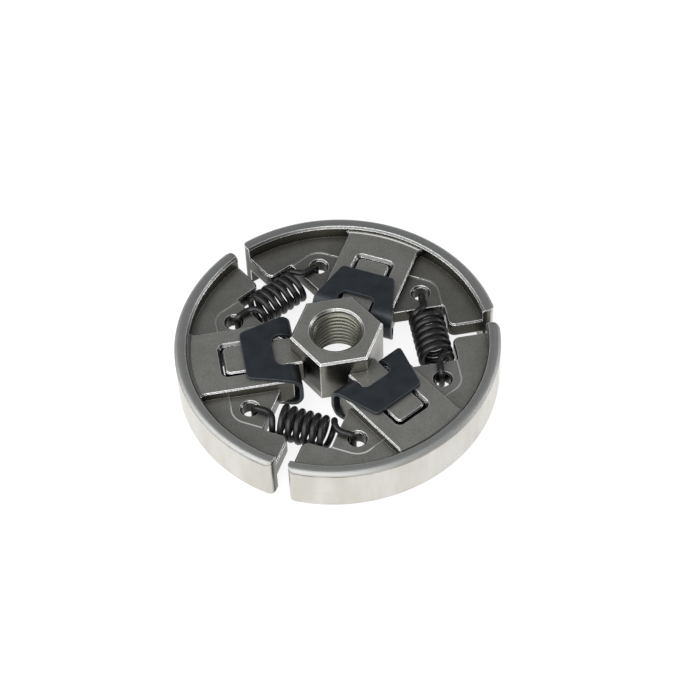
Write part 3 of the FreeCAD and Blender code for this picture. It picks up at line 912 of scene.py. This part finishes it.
@dataclass
class Studio:
    """White floor, soft light all round and the camera at the photograph's place. The camera's sizes are in
    millimetres and degrees; its pixels are those of a 700 pixel wide picture."""

    floor_width: float = 3.0
    floor_gap: float = 0.05
    floor_glow: float = 1.06
    glow_share: float = 0.8
    horizon_light: float = 0.7
    horizon_fade: tuple[float, float] = (0.25, 0.5)
    low_light: float = 0.03
    high_light: float = 1.0
    overhead_from: float = 0.6
    picture_px: int = 700
    sensor_mm: float = 36.0
    focal_px: float = 2031.007
    elevation: float = 52.081
    distance: float = 481.756
    aside: float = -2.824
    above: float = -4.836
    roll: float = -1.963
    turn: float = 8.666
    lift: float = 0.6
    boxes: tuple[SoftBox, ...] = (
        SoftBox("front_left", (-0.48, -0.5, 0.72), 1.1, 13.0),
        SoftBox("front", (-0.01, -0.84, 0.545), 0.42, 2.8),
        SoftBox("left", (-0.88, 0.1, 0.34), 0.6, 4.5),
        SoftBox("right", (0.88, -0.05, 0.23), 0.4, 3.0),
    )

    def floor(self) -> None:
        """Lay a flat floor just under the shoes, clear from below so that the underside can be seen too."""
        half = self.floor_width / 2
        z = -self.floor_gap * MM
        corners = [(-half, -half, z), (half, -half, z), (half, half, z), (-half, half, z)]
        mesh = bpy.data.meshes.new("floor")
        mesh.from_pydata(corners, [], [(0, 1, 2, 3)])
        piece = bpy.data.objects.new("floor", mesh)
        bpy.context.scene.collection.objects.link(piece)
        material, tree = new_material("lit_white_acrylic")
        # A light table: mostly its own even light, with a trace of soft shadow.
        matt = add_node(tree, "ShaderNodeBsdfDiffuse", {"Color": linear("#fbfbfb")})
        glow = add_node(tree, "ShaderNodeEmission", {
            "Color": linear("#ffffff"), "Strength": self.floor_glow})
        mixed = add_node(tree, "ShaderNodeMixShader", {
            0: self.glow_share, 1: matt.outputs[0], 2: glow.outputs[0]})
        clear = add_node(tree, "ShaderNodeBsdfTransparent")
        under = add_node(tree, "ShaderNodeNewGeometry").outputs["Backfacing"]
        sided = add_node(tree, "ShaderNodeMixShader", {0: under, 1: mixed.outputs[0], 2: clear.outputs[0]})
        add_node(tree, "ShaderNodeOutputMaterial", {"Surface": sided.outputs[0]})
        mesh.materials.append(material)

    def lights(self) -> None:
        """Surroundings with a white backdrop round the horizon and more light overhead, and soft boxes where
        the chamfers mirror them to the camera."""
        world = bpy.data.worlds.new("studio")
        world.use_nodes = True
        tree = world.node_tree
        tree.nodes.clear()
        way = add_node(tree, "ShaderNodeTexCoord").outputs["Generated"]
        upward = add_node(tree, "ShaderNodeSeparateXYZ", {0: way}).outputs["Z"]
        fade, gone = self.horizon_fade
        backdrop = add_node(tree, "ShaderNodeMapRange", {
            0: upward, 1: fade, 2: gone, 3: self.horizon_light, 4: 0.0}).outputs[0]
        overhead = add_node(tree, "ShaderNodeMapRange", {
            0: upward, 1: self.overhead_from, 2: 1.0, 3: self.low_light, 4: self.high_light}).outputs[0]
        strength = add_node(tree, "ShaderNodeMath", {0: backdrop, 1: overhead}, operation="MAXIMUM")
        sky = add_node(tree, "ShaderNodeBackground", {
            "Color": linear("#f4f6f8"), "Strength": strength.outputs[0]})
        add_node(tree, "ShaderNodeOutputWorld", {"Surface": sky.outputs[0]})
        bpy.context.scene.world = world
        for box in self.boxes:
            light = bpy.data.lights.new(box.name, "AREA")
            light.shape = "SQUARE"
            light.size = box.width
            light.energy = box.power
            lamp = bpy.data.objects.new(box.name, light)
            lamp.location = box.place
            lamp.rotation_euler = Vector(box.place).to_track_quat("Z", "Y").to_euler()
            bpy.context.scene.collection.objects.link(lamp)

    def camera(self) -> None:
        """Place the camera that was worked out from the photograph's circles and edges."""
        e = math.radians(self.elevation)
        r = math.radians(self.roll)
        forward = Vector((0.0, math.cos(e), -math.sin(e)))
        level_right = Vector((1.0, 0.0, 0.0))
        level_up = Vector((0.0, math.sin(e), math.cos(e)))
        right = level_right * math.cos(r) + level_up * math.sin(r)
        up = level_up * math.cos(r) - level_right * math.sin(r)
        place = -(forward * self.distance + right * self.aside + up * self.above)
        place.z += self.lift
        axes = Matrix((right, up, -forward)).transposed().to_4x4()
        back = Matrix.Rotation(math.radians(-self.turn), 4, "Z")
        data = bpy.data.cameras.new("photograph")
        data.sensor_width = self.sensor_mm
        data.lens = self.focal_px / self.picture_px * self.sensor_mm
        piece = bpy.data.objects.new("photograph", data)
        piece.matrix_world = back @ Matrix.Translation(place * MM) @ axes
        bpy.context.scene.collection.objects.link(piece)
        bpy.context.scene.camera = piece

    def build(self) -> None:
        """Set the stage and a plain colour rendering."""
        self.floor()
        self.lights()
        self.camera()
        bpy.context.scene.view_settings.view_transform = "Standard"
        LOG.info("studio set")


def main() -> None:
    """Build the studio, the carrier, the shoes and the springs."""
    logging.basicConfig(level=logging.INFO, format="%(name)s: %(message)s")
    Studio().build()
    tapped = SinteredSteel("tapped_thread_steel", flat="#757469", blotch="#6c6b60", wall="#757469",
                           slope="#63625a", edge="#b0afa4", edge_share=0.5)
    # The hub's side facing 210 degrees gets a band of painted shade, and its walls and slopes darker colours.
    pressed = SinteredSteel("sintered_carrier_steel", wall="#8a887f", slope="#6c6c6a", shaded_side=210.0)
    Carrier(pressed, tapped).build()
    sheet = BlackenedSheet().material()
    # Low faces get painted shade, more on the shoes further back.
    for number, angle, shoe_low_shade in ((1, 60.0, 0.42), (2, 180.0, 0.22), (3, 300.0, 0.08)):
        steel = SinteredSteel(f"sintered_shoe_steel_{number}", low_shade_below=9.4, low_shade_share=shoe_low_shade)
        FrictionShoe(number, angle, steel, sheet).build()
    wire = PhosphatedWire().material()
    for number, angle, before, after in (
            (1, 120.0, "shoe_1", "shoe_2"), (2, 240.0, "shoe_2", "shoe_3"), (3, 0.0, "shoe_3", "shoe_1")):
        TensionSpring(number, angle, before, after, wire).build()


if __name__ == "__main__":
    main()
